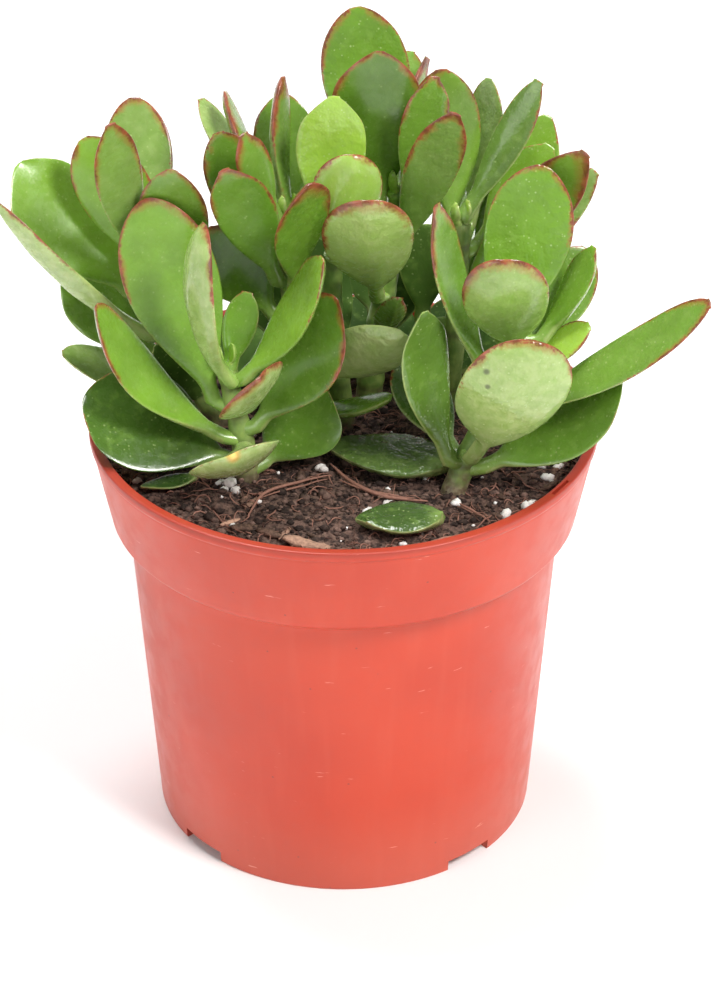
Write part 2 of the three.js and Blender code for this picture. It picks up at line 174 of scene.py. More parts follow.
class Shader:
    """A node material that is written as a row of calls."""

    def __init__(self, name):
        self.material = bpy.data.materials.new(name)
        self.material.use_nodes = True
        self.tree = self.material.node_tree
        self.surface = self.tree.nodes["Principled BSDF"]

    def fill(self, node, **inputs):
        """Fixes or links sockets; an underscore in a name stands for a space."""
        for name, value in inputs.items():
            self.put(node.inputs[name.replace("_", " ")], value)
        return node

    def set(self, **inputs):
        self.fill(self.surface, **inputs)

    def put(self, socket, value):
        if isinstance(value, bpy.types.NodeSocket):
            self.tree.links.new(value, socket)
        elif isinstance(value, tuple) and len(value) == 3 and socket.type == "RGBA":
            socket.default_value = (*value, 1)
        else:
            socket.default_value = value

    def node(self, kind, *inputs, **props):
        node = self.tree.nodes.new(kind)
        for name, value in props.items():
            setattr(node, name, value)
        for socket, value in zip(node.inputs, inputs):
            self.put(socket, value)
        return node

    def place(self):
        return self.node("ShaderNodeTexCoord").outputs["Object"]

    def value(self, name):
        return self.node("ShaderNodeAttribute", attribute_name=name).outputs["Fac"]

    def look(self, name):
        """The four numbers of a colour attribute."""
        attribute = self.node("ShaderNodeAttribute", attribute_name=name)
        parts = self.node("ShaderNodeSeparateColor", attribute.outputs["Color"])
        return [parts.outputs[i] for i in range(3)] + [attribute.outputs["Alpha"]]

    def math(self, operation, *inputs):
        return self.node("ShaderNodeMath", *inputs, operation=operation).outputs[0]

    def times(self, value, *factors):
        """The product of several values."""
        for factor in factors:
            value = self.math("MULTIPLY", value, factor)
        return value

    def mix(self, factor, a, b, blend="MIX"):
        node = self.node("ShaderNodeMix", data_type="RGBA", blend_type=blend)
        self.fill(node, Factor=factor)
        self.put(node.inputs[6], a)
        self.put(node.inputs[7], b)
        return node.outputs[2]

    def fade(self, value, low, high, to_low=0.0, to_high=1.0):
        """Eases from to_low to to_high while the value goes from low to high."""
        node = self.node("ShaderNodeMapRange", value, low, high, to_low, to_high)
        node.interpolation_type = "SMOOTHSTEP"
        return node.outputs[0]

    def noise(self, size, detail=2.0, stretch=None, rough=0.5):
        """Soft noise with features of a size in millimetres."""
        place = self.place()
        if stretch:
            place = self.node("ShaderNodeMapping", place, (0, 0, 0), (0, 0, 0), stretch).outputs[0]
        node = self.node("ShaderNodeTexNoise")
        self.fill(node, Vector=place, Scale=1 / (size * MM), Detail=detail, Roughness=rough)
        return node.outputs["Fac"]

    def patches(self, size, detail, low, high, to_low=0.0, to_high=1.0):
        """Soft noise that is faded between two of its levels."""
        return self.fade(self.noise(size, detail), low, high, to_low, to_high)

    def stray(self, size, detail, reach):
        """Noise that strays to both sides of 0, over a range of reach."""
        return self.times(self.math("SUBTRACT", self.noise(size, detail), 0.5), reach)

    def cells(self, size):
        """The distance to the nearest of many scattered points, in cells."""
        node = self.node("ShaderNodeTexVoronoi")
        return self.fill(node, Vector=self.place(), Scale=1 / (size * MM)).outputs["Distance"]

    def spot(self, centre, radius, soft=0.3):
        """1 near a point in millimetres, fading to 0 at a radius."""
        offset = self.node("ShaderNodeVectorMath", self.place(), tuple(c * MM for c in centre))
        offset.operation = "DISTANCE"
        return self.fade(offset.outputs["Value"], radius * MM, radius * soft * MM)

    def bump(self, *layers):
        """Bump layers of (height, depth in millimetres, strength)."""
        last = None
        for height, depth, strength in layers:
            node = self.node("ShaderNodeBump")
            self.fill(node, Strength=strength, Distance=depth * MM, Height=height)
            if last is not None:
                self.fill(node, Normal=last)
            last = node.outputs[0]
        self.set(Normal=last)


# ---------------- materials

POT_HEIGHT = 105
DUST_HEIGHT = 30

def leaf_green(s, tint, grey, top, along, cloud):
    """A leaf's green by its tint, paler underneath, at its foot and in its bloom, with pale specks that
    are partly painted glints.
    """
    green = s.mix(s.fade(tint, 0, 0.55), (0.024, 0.056, 0.013), (0.148, 0.3, 0.026))
    green = s.mix(s.fade(tint, 0.5, 1), green, (0.33, 0.54, 0.05))
    shade = s.patches(9, 2, 0.3, 0.7, 0.89, 1.1)
    green = s.mix(1, green, s.node("ShaderNodeCombineColor", shade, shade, shade).outputs[0], "MULTIPLY")
    green = s.mix(s.times(s.fade(cloud, 0.52, 0.72), 0.24), green, (0.26, 0.42, 0.085))
    bloom = s.mix(s.fade(cloud, 0.3, 0.7), (0.3, 0.42, 0.13), (0.43, 0.53, 0.215))
    paler = s.math("ADD", s.times(s.fade(top, 0.62, 0.3), 0.3), grey)
    green = s.mix(s.math("MINIMUM", paler, 0.92), green, bloom)
    green = s.mix(s.times(s.fade(along, 0.24, 0), 0.45), green, (0.33, 0.48, 0.13))
    # pale specks: partly the skin's own dots, partly painted glints on the waxy skin
    specks_and_glints = s.fade(s.cells(1.25), 0.24, 0.1)
    return s.mix(s.times(specks_and_glints, s.patches(3, 2, 0.42, 0.62), 0.46), green, (0.56, 0.68, 0.3))


def leaf_material(name, spots=(), shaded=False):
    """Waxy leaf skin, by its margin (mm from the edge), top, along, and look (tint, red, grey, wet)."""
    s = Shader(name)
    tint, red, grey, wet = s.look("look")
    margin, top, along = s.value("margin"), s.value("top"), s.value("along")
    cloud = s.noise(2.6, 3)
    green = leaf_green(s, tint, grey, top, along, cloud)
    # painted highlight: a pale line along the margin stands in for glints on the leaf's rounded edge
    green = s.mix(s.times(s.fade(margin, 0.42, 0), 0.5), green, (0.46, 0.52, 0.2))
    patchy = s.patches(6, 2, 0.34, 0.6, 0.35, 1.15)
    wide = s.times(red, 1.3, s.fade(along, 0.42, 0.96, 0.08, 1), patchy)
    reach = s.math("ADD", margin, s.stray(0.75, 3, 1.5))
    share = s.math("DIVIDE", reach, s.math("MAXIMUM", wide, 0.02))
    lively = s.fade(wide, 0.02, 0.3)
    warm = s.times(s.fade(share, 2.3, 0.85), lively)
    deep = s.times(s.fade(share, 1.15, 0.35), lively)
    colour = s.mix(s.times(warm, 0.62), green, (0.33, 0.17, 0.035))
    crimson = s.mix(s.fade(cloud, 0.35, 0.65), (0.15, 0.022, 0.014), (0.33, 0.062, 0.034))
    colour = s.mix(s.times(deep, 0.9), colour, crimson)
    for centre, radius, stain in spots:
        colour = s.mix(s.times(s.spot(centre, radius), 0.9), colour, stain)
    s.set(Base_Color=colour, Subsurface_Scale=0.0016)
    if shaded:
        s.set(Roughness=s.patches(1.6, 2, 0.3, 0.7, 0.62, 0.8), Specular_IOR_Level=0.15)
    else:
        gloss = s.patches(1.6, 2, 0.3, 0.7, 0.22, 0.34)
        s.set(Roughness=s.math("SUBTRACT", gloss, s.times(wet, 0.08)))
        s.set(Specular_IOR_Level=0.5, Subsurface_Weight=0.12, Subsurface_Radius=(0.5, 1, 0.2))
        s.set(Coat_Weight=0.35, Coat_Roughness=0.12)
    dimples = s.times(s.noise(2.2, 2), s.math("SUBTRACT", wet, 0.2))
    s.bump((s.noise(0.55, 2), 0.05, 0.6), (s.noise(5, 1), 0.14, 0.5), (dimples, 0.6, 0.9))
    return s.material


def stem_material():
    """Green skin that turns to bark at the foot. ring is 1 on a leaf scar, foot is 1 at the soil."""
    s = Shader("stem_skin")
    ring, foot = s.value("ring"), s.value("foot")
    green = s.mix(s.patches(3, 3, 0.3, 0.7), (0.13, 0.23, 0.04), (0.26, 0.37, 0.09))
    bark = s.mix(s.patches(1.4, 4, 0.35, 0.65), (0.12, 0.085, 0.05), (0.24, 0.2, 0.12))
    worn = s.math("ADD", foot, s.stray(2, 3, 0.9))
    colour = s.mix(s.fade(worn, 0.35, 0.95), green, bark)
    colour = s.mix(s.times(ring, 0.6), colour, (0.12, 0.11, 0.05))
    s.set(Base_Color=colour, Roughness=s.patches(1.2, 2, 0.3, 0.7, 0.42, 0.6))
    s.set(Specular_IOR_Level=0.45, Subsurface_Weight=0.08, Subsurface_Scale=0.0012)
    s.bump((s.noise(0.7, 3, (1, 1, 0.35)), 0.16, 0.7))
    return s.material


def pot_material():
    """Orange-red satin plastic with painted highlight streaks, painted shade darkening the rim at the
    top, rubbed marks and a few specks.
    """
    s = Shader("pot_plastic")
    height = s.node("ShaderNodeSeparateXYZ", s.place()).outputs[2]
    body = s.mix(s.patches(38, 2, 0.3, 0.7), (0.5, 0.039, 0.012), (0.565, 0.051, 0.017))
    # painted highlight: soft lighter streaks running up the body
    painted_highlight_streak = s.fade(s.noise(5, 2, (1, 1, 0.08)), 0.5, 0.75)
    body = s.mix(s.times(painted_highlight_streak, 0.14), body, (0.66, 0.11, 0.06))
    # painted shade: the pot's top rim and its inner edge are darkened where shade falls on them
    lip_painted_shade = s.fade(height, (POT_HEIGHT - 1.8) * MM, (POT_HEIGHT - 0.4) * MM)
    colour = s.mix(s.times(lip_painted_shade, 0.8), body, (0.35, 0.036, 0.02))
    scratch = s.fade(s.noise(2.6, 3, (0.35, 0.35, 2.4), 0.6), 0.7, 0.76)
    colour = s.mix(s.times(scratch, 0.55), colour, (0.88, 0.42, 0.33))
    specks = s.fade(s.cells(9), 0.04, 0.018)
    colour = s.mix(s.times(specks, 0.75), colour, (0.23, 0.04, 0.03))
    dust = s.fade(height, DUST_HEIGHT * MM, 0)
    colour = s.mix(s.times(dust, 0.14), colour, (0.72, 0.33, 0.24))
    s.set(Base_Color=colour, Roughness=s.patches(6, 3, 0.3, 0.7, 0.3, 0.42))
    s.set(Specular_IOR_Level=0.5)
    s.bump((s.noise(0.35, 2), 0.012, 0.5), (s.noise(14, 1, (1, 1, 0.3)), 0.2, 0.35))
    return s.material


def soil_material():
    """Moist peat: near black and brown in random patches, and brown on its fibres."""
    s = Shader("peat")
    colour = s.mix(s.patches(1.5, 4, 0.36, 0.64), (0.026, 0.016, 0.014), (0.15, 0.09, 0.07))
    fibre = s.patches(0.6, 3, 0.58, 0.72)
    colour = s.mix(s.times(fibre, 0.6), colour, (0.27, 0.17, 0.135))
    s.set(Base_Color=colour, Roughness=0.92, Specular_IOR_Level=0.25)
    s.bump((s.noise(0.8, 4), 0.55, 1), (s.noise(2.2, 3), 0.9, 0.8))
    return s.material


def crumb_material(name, dark, light, rough=0.9, depth=0.3):
    """Small loose stuff. shade runs from 0, dark, to 1, light."""
    s = Shader(name)
    shade = s.math("ADD", s.value("shade"), s.stray(0.7, 3, 0.7))
    s.set(Base_Color=s.mix(s.fade(shade, 0, 1), dark, light), Roughness=rough, Specular_IOR_Level=0.3)
    s.bump((s.noise(0.45, 3), depth, 0.9))
    return s.material


LEAF_SKIN = leaf_material("leaf_skin")
# Spots: centre and radius in mm, and colour.
YELLOW_SPOT = (-24.8, -37.9, 117.2)
FRONT_SPOTS = [(YELLOW_SPOT, 2.4, (0.62, 0.36, 0.07)), (YELLOW_SPOT, 1.2, (0.86, 0.66, 0.2))]
DENT = (0.1, 0.13, 0.045)
DENT_SPOTS = [((31.8, -34.5, 136.8), 1.1, DENT), ((32.1, -34.6, 133), 0.9, DENT)]
SPOTTED_SKIN = leaf_material("leaf_skin_spotted", FRONT_SPOTS)
DENTED_SKIN = leaf_material("leaf_skin_dented", DENT_SPOTS)
SHADED_SKIN = leaf_material("leaf_skin_shaded", shaded=True)
STEM_SKIN = stem_material()
POT_SKIN = pot_material()

# ---------------- leaves

SKINS = {"leaf_a_front": SPOTTED_SKIN, "leaf_d_front": DENTED_SKIN, "leaf_f_dark": SHADED_SKIN}
LEAF_WIDEST = 0.62
LEAF_COLS = 30
LEAF_ROWS_LOW = 17
LEAF_ROWS_TIP = 13
LEAF_ABOVE, LEAF_BELOW = 0.38, 0.62  # shares of the thickness above and below the middle line
PETIOLE_WIDE = 1.28  # a petiole's half width at the blade, over its radius
CLASP_SHARES = (1.0, 0.66, 0.33)  # places of the last rings, towards the stem's middle
ROOT_DEPTH = 0.6
MARGIN_CAP = 3.0  # the margin value of a petiole
CAD_RING_POINTS = 10
CAD_STATION = 0.54  # part of the length at which the CAD leaf's fourth ring stands
CAD_CUP = 0.05
CAD_THICK = 0.94  # part of the thickness that the fourth ring spans
# Nearly round blades: how far each runs below its widest place, in widths.
ROUND_BLADES = {
    "leaf_d_front": 0.72,
    "leaf_e_round_front": 1.00,
    "leaf_d_round_front": 0.82,
    "leaf_g_small_round": 0.85,
}

# Looks: tint from 0, dark, to 1, yellow-green; red margin; grey bloom; wet, dimpled and shiny skin.
LOOKS = dict(
    a_low_left=(0.2, 0.22, 0, 0.3),
    a_low_right=(0.3, 0.1, 0, 0.2),
    a_front=(0.95, 0.1, 0.85, 0.1),
    a_left=(0.62, 0.7, 0.05, 0.2),
    a_right=(0.34, 1.05, 0, 0.25),
    a_front_up=(0.85, 0.85, 0.6, 0.15),
    a_back_tall=(0.6, 0.85, 0, 0.3),
    a_pale_edge=(0.74, 0.65, 0.5, 0.15),
    a_right_up=(0.7, 0.45, 0, 0.2),
    b_far_left=(0.62, 0.12, 0.05, 0.2),
    b_back_left=(0.66, 0.9, 0, 0.2),
    b_top=(0.45, 0.75, 0.35, 0.15),
    b_edge=(0.45, 0.95, 0.3, 0.15),
    b_inner=(0.52, 0.6, 0.05, 0.2),
    b_low_long=(0.85, 0.4, 0.75, 0.15),
    b_low_back=(0.45, 0.05, 0.1, 0.2),
    c_left=(0.42, 0.8, 0, 0.25),
    c_slender=(0.5, 0.95, 0.1, 0.15),
    c_mid_left=(0.42, 0.85, 0, 0.25),
    c_low_left=(0.5, 0.85, 0, 0.25),
    c_red_rim=(0.52, 1.5, 0, 0.5),
    c_back=(0.55, 0.3, 0.05, 0.2),
    c_grey=(0.8, 0.02, 0.8, 1.1),
    c_rear=(0.4, 0.35, 0.05, 0.2),
    d_left=(0.32, 0.05, 0.05, 0.9),
    d_low_right=(0.34, 0.12, 0, 0.3),
    d_front=(0.7, 0.75, 0.45, 0.8),
    d_dark=(0.22, 0.3, 0, 0.2),
    d_slender=(0.45, 0.8, 0.05, 0.2),
    d_long_right=(0.42, 0.7, 0.1, 0.3),
    d_round_front=(0.66, 0.95, 0.12, 0.45),
    d_tall=(0.56, 0.6, 0, 1),
    d_right=(0.58, 0.3, 0, 0.3),
    d_right_back=(0.45, 0.3, 0.05, 0.3),
    e_top=(0.5, 0.7, 0, 0.8),
    e_big=(0.34, 1, 0, 0.25),
    e_right=(0.42, 1.1, 0.25, 0.4),
    e_mid=(0.5, 0.8, 0.05, 0.6),
    e_round_front=(1, 1.15, 0.4, 0.5),
    e_rear=(0.42, 0.5, 0.05, 0.25),
    f_tall=(0.62, 0.7, 0.1, 0.25),
    f_grey=(0.5, 0.2, 0.4, 0.7),
    f_right=(0.64, 0.15, 0, 0.2),
    f_far=(0.66, 0.2, 0, 0.2),
    f_dark=(0.2, 0, 0.05, 0.6),
    f_rear=(0.42, 0.4, 0.05, 0.25),
    g_tall=(1, 0.1, 0.12, 0.9),
    g_small_round=(0.88, 0.55, 0.05, 0.15),
    fallen_leaf_middle=(0.16, 0, 0.14, 1.7),
    fallen_leaf_front=(0.1, 0.15, 0.06, 1.4),
    fallen_leaf_left=(0.1, 0.2, 0, 0.6),
)


def outline(t):
    """Half the blade's width over its length, as a part of the widest."""
    low = np.sin(np.clip(t / LEAF_WIDEST, 0, 1) * math.pi / 2) ** 1.15
    u = np.clip((t - LEAF_WIDEST) / (1 - LEAF_WIDEST), 0, 1)
    return np.where(t < LEAF_WIDEST, low, (1 - u**2.15) ** 0.54)


def round_outline(t, share, below):
    """The same for a nearly round blade on a petiole; share is the leaf's width over its length."""
    upper, lower = 0.58 * share, below * share
    u = np.clip((t - 1 + upper) / upper, -lower / upper, 1)
    u = np.where(u < 0, np.clip(u * upper / lower, -1, 0), u)
    return (1 - u**2) ** 0.5


def oval_outline(t):
    """The same for a loose leaf that is drawn in at both ends."""
    return np.maximum(0.03, np.sin(math.pi * t**0.85) ** 0.72)


def spine_at(t, curl):
    """Along and up places on a leaf's bent middle line, for a chord of length 1."""
    curl = max(curl, 0.01)
    run = 2 * math.sin(curl / 2) / curl
    x = (np.sin(curl * (t - 0.5)) + math.sin(curl / 2)) / curl
    z = (math.cos(curl / 2) - np.cos(curl * (t - 0.5))) / curl
    return x / run, z / run


def noise_at(points, size, seed):
    """Smooth noise at some points, with lumps of a size in mm."""
    shift = Vector((seed * 7.3, seed * 3.1, seed * 5.7))
    return np.array([noise.noise(Vector(p) / size + shift) for p in points])


LOW_T = np.linspace(0, LEAF_WIDEST, LEAF_ROWS_LOW, endpoint=False)
TIP_T = LEAF_WIDEST + (1 - LEAF_WIDEST) * np.sin(np.linspace(0, math.pi / 2, LEAF_ROWS_TIP + 1)[:-1])
LEAF_T = np.concatenate([LOW_T, TIP_T])[:, None]  # parts of the length at which rings stand
COS, SIN = around(LEAF_COLS)


def half_width(shape, length, seed, form, below):
    """Half the blade's width at every ring."""
    t, wide = LEAF_T, shape["width"]
    stalk = shape["petiole"] * PETIOLE_WIDE * (1 - 0.3 * t)
    if form == "oval":
        return oval_outline(t) * wide / 2
    if form == "round":
        drawn = round_outline(t, wide / length, below) * wide / 2
        return np.where(t > 0.9, drawn, (stalk**4 + drawn**4) ** 0.25)
    pointed = 1 - (0.05 + 0.09 * (seed % 3)) * smooth((t - 0.8) / 0.2)
    return np.maximum(stalk, outline(t) * wide / 2 * pointed)


def leaf_sections(shape, half, seed, grown, full):
    """Sideways and upward places of a leaf's skin: a cupped lens with a keel under it."""
    t, wide, thick, petiole = LEAF_T, shape["width"], shape["thick"], shape["petiole"]
    bulk = thick * (1 - 0.45 * smooth((t - 0.55) / 0.45))
    upper = (petiole * (1 - grown) + bulk * LEAF_ABOVE * grown) * full
    lower = (petiole * 1.1 * (1 - grown) + bulk * LEAF_BELOW * grown) * full
    across = half * COS * (1 + 0.05 * math.sin(seed * 2.4) * np.sin(math.pi * t) * COS)
    lens = np.sign(SIN) * np.abs(SIN) ** (1 + 0.38 * grown)
    lift = np.where(lens > 0, upper, lower) * lens + CAD_CUP * wide * (grown * full) * COS**2
    keel = 0.1 * thick * np.exp(-((COS / 0.22) ** 2)) * (SIN < 0) * (grown * full)
    wave = 0.012 * wide * np.sin(t * 9 + seed) * COS * np.abs(COS) * grown
    return across, lift - keel + wave


def clasp_rings(centre, along, side, anchor, outward, petiole):
    """Rings that lead a petiole from its anchor in the stem to the centre of the first ring."""
    rings = []
    for share in CLASP_SHARES:
        ahead = unit(along * (1 - share) + outward * share)
        across = unit(side - ahead * (side @ ahead))
        wide = petiole * (PETIOLE_WIDE + 0.35 * share) * across
        high = petiole * (1.05 + 0.15 * share) * np.cross(ahead, across)
        oval = COS[:, None] * wide + SIN[:, None] * high
        rings.append(centre * (1 - share) + anchor * share + oval)
    return np.array(rings)


def leaf_values(half, across, length, look, before):
    """Values at a leaf's points, of which so many come before the blade's."""
    edge = np.hstack([np.vstack([LEAF_T, LEAF_T, [[1]]]) * length, np.vstack([half, -half, [[0]]])])
    here = np.stack([np.broadcast_to(LEAF_T * length, across.shape), across], -1).reshape(-1, 2)
    margin = np.sqrt(((here[:, None] - edge) ** 2).sum(-1)).min(1)
    top = np.broadcast_to(0.5 + 0.5 * np.clip(SIN * 5, -1, 1), across.shape)
    along = np.broadcast_to(LEAF_T, across.shape)
    return {
        "margin": np.concatenate([np.full(before, MARGIN_CAP), margin, [0.0]]),
        "top": np.concatenate([np.full(before, 1.0), top.ravel(), [0.5]]),
        "along": np.concatenate([np.zeros(before), along.ravel(), [1.0]]),
        "look": np.tile(np.array(look, float), (before + across.size + 1, 1)),
    }


def grow_leaf(skin, shape, look, seed, anchor=None, kind=0, form="blade", below=None):
    """Adds a leaf: a thick, crisp-edged blade on a petiole that bends into its stem at anchor."""
    base, tip = np.asarray(shape["base"], float), np.asarray(shape["tip"], float)
    length = norm(tip - base)
    along = unit(tip - base)
    side = unit(np.cross(shape["look"], along))
    normal = np.cross(along, side)
    t = LEAF_T
    grown = smooth(t / (0.12 if form == "oval" else 0.35))
    full = np.where(t > LEAF_WIDEST, np.clip(outline(t) / 0.72, 0, 1) ** 0.85, 1)
    half = half_width(shape, length, seed, form, below)
    across, lift = leaf_sections(shape, half, seed, grown, full)
    x, z = spine_at(t, shape["curl"])
    pitch = shape["curl"] * (t - 0.5)
    ahead = x * length - np.sin(pitch) * lift
    up = z * length + np.cos(pitch) * lift
    rings = base + ahead[..., None] * along + across[..., None] * side + up[..., None] * normal
    places = rings.reshape(-1, 3)
    coarse = noise_at(places, 6.5, seed) * 0.22
    dimples = noise_at(places, 2.3, seed + 9) * max(0.0, look[3] - 0.25) * 0.3
    relief = (coarse + dimples).reshape(across.shape) * np.abs(SIN) ** 0.7 * (grown * full)
    rings = rings + (relief * np.where(SIN >= 0, 1, -1))[..., None] * normal
    centre = rings[0].mean(0)
    start = centre - along * ROOT_DEPTH
    if anchor is not None:
        outward = unit(base - anchor)
        foot = clasp_rings(centre, along, side, anchor, outward, shape["petiole"])
        start = anchor - outward * ROOT_DEPTH
        rings = np.concatenate([foot, rings])
    before = 1 + (len(rings) - len(t)) * LEAF_COLS
    skin.loft(start, rings, tip, kind=kind, **leaf_values(half, across, length, look, before))


def welded(node):
    """The different points of a CAD node, in mm, and the neighbours of each."""
    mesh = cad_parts[node].data
    raw = np.array([v.co for v in mesh.vertices], float) / MM
    points, which = np.unique(np.round(raw, 3), axis=0, return_inverse=True)
    which = which.ravel()
    near = [set() for _ in points]
    for face in mesh.polygons:
        corners = [which[i] for i in face.vertices]
        for a, b in zip(corners, corners[1:] + corners[:1]):
            near[a].add(b)
            near[b].add(a)
    return points, near


def read_leaf(node):
    """A CAD leaf's shape, read from its mesh: seven rings of ten points between two poles."""
    points, near = welded(node)
    poles = [i for i, found in enumerate(near) if len(found) == CAD_RING_POINTS]
    poles.sort(key=lambda i: norm(points[list(near[i])].mean(0) - points[i]))
    seen = {poles[0]}
    rings = [near[poles[0]]]
    while len(rings) < 4:
        seen |= rings[-1]
        rings.append(set().union(*(near[i] for i in rings[-1])) - seen)
    first, fourth = points[sorted(rings[0])], points[sorted(rings[3])]
    base, tip = first.mean(0), points[poles[1]]
    along = unit(tip - base)
    apart = norm(fourth[:, None] - fourth[None], axis=2)
    a, b = np.unravel_index(apart.argmax(), apart.shape)
    side = fourth[a] - fourth[b]
    side = unit(side - along * (side @ along))
    normal = np.cross(along, side)
    middle = (fourth[a] + fourth[b]) / 2
    if ((fourth - middle) @ normal).mean() > 0:
        normal = -normal
    width = apart.max() / float(outline(np.array(CAD_STATION)))
    rise = (fourth - middle) @ normal
    sag = (middle - base) @ normal - CAD_CUP * width
    length = norm(tip - base)
    return {
        "base": base,
        "tip": tip,
        "look": normal,
        "width": width,
        "thick": np.ptp(rise) / CAD_THICK,
        "curl": max(0.0, -8 * sag / length),
        "petiole": norm(first - base, axis=1).mean(),
    }


shapes = {name: read_leaf(name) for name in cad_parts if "leaf" in name}

# ---------------- stems

SOIL_Z = 98.0
STEM_BURIED = 18
STEM_COLS = 20
STEM_STEP = 0.9
JOINED_THICK = 3.4
JOINED_PETIOLE = 1.55
JOINED_SEED, BUD_SEED = 60, 130
SHADED_TINT = 0.21  # darker joined leaves have the shaded skin
BUD_LOOK = (0.92, 0.05, 0.1, 0.1)
BUD_TURNS = (0.4, 0.4 + math.pi)

# Each stem's points from the soil up, and its radius at the foot and at the tip.
STEMS = {
    "a": ([(-22.5, -16, 98), (-23.5, -14, 108), (-25.5, -11.5, 117), (-27, -9.5, 124)], (3.1, 2.2)),
    "b": ([(-30, 9, 98), (-38, 11, 112), (-44, 13, 126), (-49, 15, 138)], (3.0, 2.0)),
    "c": ([(-10, 4, 98), (-11, 6, 114), (-12, 8, 132), (-12.5, 11, 152)], (3.6, 2.1)),
    "d": (
        [(25.5, -21.5, 98), (28.5, -19, 105), (34, -16, 117), (39.5, -13, 129), (41, -11, 134)],
        (3.4, 2.2),
    ),
    "e": ([(6, 18, 98), (8, 17, 118), (11, 16, 138), (13, 16, 156)], (3.6, 2.1)),
    "g": ([(0, 7, 98), (-2, 8, 118), (-2.5, 9, 136), (-1.5, 11, 150)], (3.2, 2.0)),
    "f": ([(24, 14, 98), (26, 13, 116), (27, 13, 134), (27.5, 13.5, 149)], (3.4, 2.1)),
}

FRONT = (0, -1, 0.4)
TO_RIGHT = (1, -0.4, 0.2)
BACK = (0, 1, 0.25)
UP = (0, 0, 1)

# Leaves that are one piece with their stem: height on it, tip, width, where the top faces, curl, look.
JOINED = {
    "a": [(122.5, (-22, -2, 139.5), 8, FRONT, 20, (0.55, 0.2, 0, 0.2))],
    "b": [
        (108, (-65.5, 0, 122), 13, (0, -0.3, 1), 20, (0.5, 0.15, 0.55, 0.2)),
        (128, (-50, 38, 142), 16, UP, 20, (0.45, 0.45, 0.05, 0.2)),
        (103, (-43.5, 3, 123), 13, (0.2, -1, 0.5), 20, (0.2, 0.05, 0, 0.2)),
    ],
    "c": [
        (149, (-33.2, 32, 172.2), 11, (0.7, -0.3, 0.6), 20, (0.45, 0.2, 0.55, 0.2)),
        (151, (-27.3, 28, 176), 9, (1, -0.1, 0.4), 20, (0.4, 1.4, 0.3, 0.2)),
        (151, (-13.7, 22, 182.5), 9, TO_RIGHT, 20, (0.4, 1.5, 0.2, 0.2)),
        (104, (11, -10, 116), 8, (0, -0.2, 1), 20, (0.62, 0.05, 0, 0.4)),
        (118, (-24, 28, 134), 14, UP, 20, (0.2, 0.2, 0, 0.2)),
        (105, (-26, 38, 113), 22, UP, 20, (0.2, 0.15, 0, 0.2)),
    ],
    "d": [(124, (56, -15, 137.5), 10, (0, -0.3, 1), 20, (0.9, 0.35, 0.05, 0.2))],
    "e": [
        (140, (15.8, 49, 176.4), 13, FRONT, 20, (0.55, 0.45, 0.1, 0.2)),
        (141.5, (19.9, 42, 178), 8, TO_RIGHT, 20, (0.4, 1.4, 0.25, 0.2)),
        (118, (12.5, -4, 139), 7, BACK, 20, (0.5, 0.25, 0, 0.2)),
        (122, (-2, 44, 140), 16, UP, 20, (0.2, 0.35, 0, 0.2)),
        (105, (6, 46, 112), 24, UP, 20, (0.15, 0.15, 0, 0.2)),
        (113, (17, 33, 139), 16, FRONT, 20, (0.14, 0.05, 0, 0.2)),
    ],
    "f": [
        (150, (45, 20.3, 182), 8.5, (-0.6, -0.8, 0), 20, (0.3, 0.25, 0.1, 0.4)),
        (129, (55, 3, 172.3), 14, FRONT, 20, (0.62, 1.3, 0.05, 0.3)),
        (122, (53, 28, 138), 15, UP, 20, (0.4, 0.35, 0.05, 0.2)),
        (123, (59, 24, 157.2), 11, FRONT, 45, (0.45, 0.35, 0.5, 0.2)),
        (107, (33, 44, 114), 22, UP, 20, (0.15, 0.15, 0, 0.2)),
    ],
    "g": [(112, (-8.5, 26, 139), 16, FRONT, 20, (0.16, 0.05, 0, 0.2))],
}


def stem_line(path):
    """A stem's middle by height: a cubic through its points, straight below the first."""
    p = np.array([(path[0][0], path[0][1], path[0][2] - STEM_BURIED), *path], float)
    slopes = np.gradient(p[:, :2], p[:, 2], axis=0)

    def at(z):
        i = int(np.clip(np.searchsorted(p[:, 2], z) - 1, 0, len(p) - 2))
        h = p[i + 1, 2] - p[i, 2]
        s = (z - p[i, 2]) / h
        xy = (2 * s**3 - 3 * s**2 + 1) * p[i, :2] + (s**3 - 2 * s**2 + s) * h * slopes[i]
        xy = xy + (3 * s**2 - 2 * s**3) * p[i + 1, :2] + (s**3 - s**2) * h * slopes[i + 1]
        return np.array([xy[0], xy[1], z])

    return at


def grow_leaves():
    """Every leaf that is a part of its own, its petiole let into its stem."""
    for number, (name, shape) in enumerate(shapes.items()):
        skin = Skin()
        anchor, form, slot = None, "oval", "fallen_leaf"
        below = ROUND_BLADES.get(name)
        if name.startswith("leaf"):
            path = STEMS[name.split("_")[1]][0]
            anchor = stem_line(path)(min(shape["base"][2] - 1.0, path[-1][2]))
            form, slot = "round" if below else "blade", "leaf"
        grow_leaf(skin, shape, LOOKS[name.removeprefix("leaf_")], number, anchor, form=form, below=below)
        skin.piece(name + "_blade", [SKINS.get(name, LEAF_SKIN)], [name], slot)


